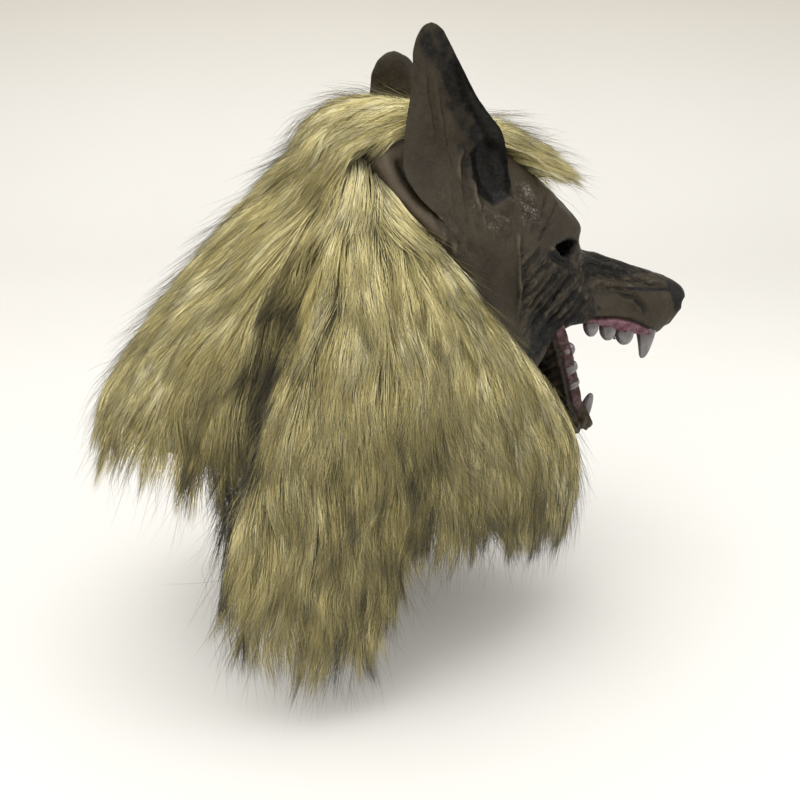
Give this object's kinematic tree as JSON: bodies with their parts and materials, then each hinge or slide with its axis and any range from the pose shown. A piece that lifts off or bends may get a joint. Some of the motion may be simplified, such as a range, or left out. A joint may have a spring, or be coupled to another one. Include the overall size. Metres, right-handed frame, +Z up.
{
  "type": "latex wolf mask",
  "caption": "Full-head latex wolf mask, jaws gaping, with tall ears and a long faux-fur mane that falls over the wearer's neck and shoulders.",
  "frame": {"origin": "inside of the crown on the mask's middle plane, where the mask bears on the wearer's head", "axes": "-Y the way the face looks, +Z up, -X the wearer's right"},
  "size_m": [0.2706, 0.446, 0.4079],
  "materials": {
    "latex_brown": "satin painted latex",
    "gum_paint": "gloss painted latex",
    "tooth_resin": "gloss",
    "faux_fur": "long pile with dark tips"
  },
  "bodies": {
    "head": {"latex_face": "latex_brown", "upper_gum": "gum_paint", "upper_canine_right": "tooth_resin", "upper_cheek_tooth_right_1": "tooth_resin", "upper_cheek_tooth_right_2": "tooth_resin", "upper_cheek_tooth_right_3": "tooth_resin", "upper_incisor_right_1": "tooth_resin", "upper_incisor_right_2": "tooth_resin", "upper_incisor_right_3": "tooth_resin", "upper_canine_left": "tooth_resin", "upper_cheek_tooth_left_1": "tooth_resin", "upper_cheek_tooth_left_2": "tooth_resin", "upper_cheek_tooth_left_3": "tooth_resin", "upper_incisor_left_1": "tooth_resin", "upper_incisor_left_2": "tooth_resin", "upper_incisor_left_3": "tooth_resin", "crown_fur": "faux_fur", "mane_right": "faux_fur", "mane_left": "faux_fur", "bib_fur": "faux_fur"},
    "jaw": {"latex_jaw": "latex_brown", "lower_gum": "gum_paint", "lower_canine_right": "tooth_resin", "lower_cheek_tooth_right_1": "tooth_resin", "lower_cheek_tooth_right_2": "tooth_resin", "lower_cheek_tooth_right_3": "tooth_resin", "lower_incisor_right_1": "tooth_resin", "lower_incisor_right_2": "tooth_resin", "lower_canine_left": "tooth_resin", "lower_cheek_tooth_left_1": "tooth_resin", "lower_cheek_tooth_left_2": "tooth_resin", "lower_cheek_tooth_left_3": "tooth_resin", "lower_incisor_left_1": "tooth_resin", "lower_incisor_left_2": "tooth_resin"},
    "ear_right": {"ear_right": "latex_brown"},
    "ear_left": {"ear_left": "latex_brown"},
    "rear_flap": {"mane_back": "faux_fur"}
  },
  "joints": [
    {"name": "jaw_flex", "type": "hinge", "parent": "head", "child": "jaw", "pos_m": [0, -0.09, -0.15], "axis": [-1, 0, 0], "range_deg": [-3, 10], "stiffness_Nm_per_rad": 0.5, "springref_deg": 1.72},
    {"name": "ear_right_flex", "type": "hinge", "parent": "head", "child": "ear_right", "pos_m": [-0.076, -0.025, -0.066], "axis": [0, -1, 0], "range_deg": [0, 12], "stiffness_Nm_per_rad": 0.5, "springref_deg": -2.86},
    {"name": "ear_left_flex", "type": "hinge", "parent": "head", "child": "ear_left", "pos_m": [0.076, -0.025, -0.066], "axis": [0, 1, 0], "range_deg": [0, 12], "stiffness_Nm_per_rad": 0.5, "springref_deg": -2.86},
    {"name": "rear_flap_lift", "type": "hinge", "parent": "head", "child": "rear_flap", "pos_m": [0, 0.05, 0.006], "axis": [1, 0, 0], "range_deg": [0, 50]}
  ]
}
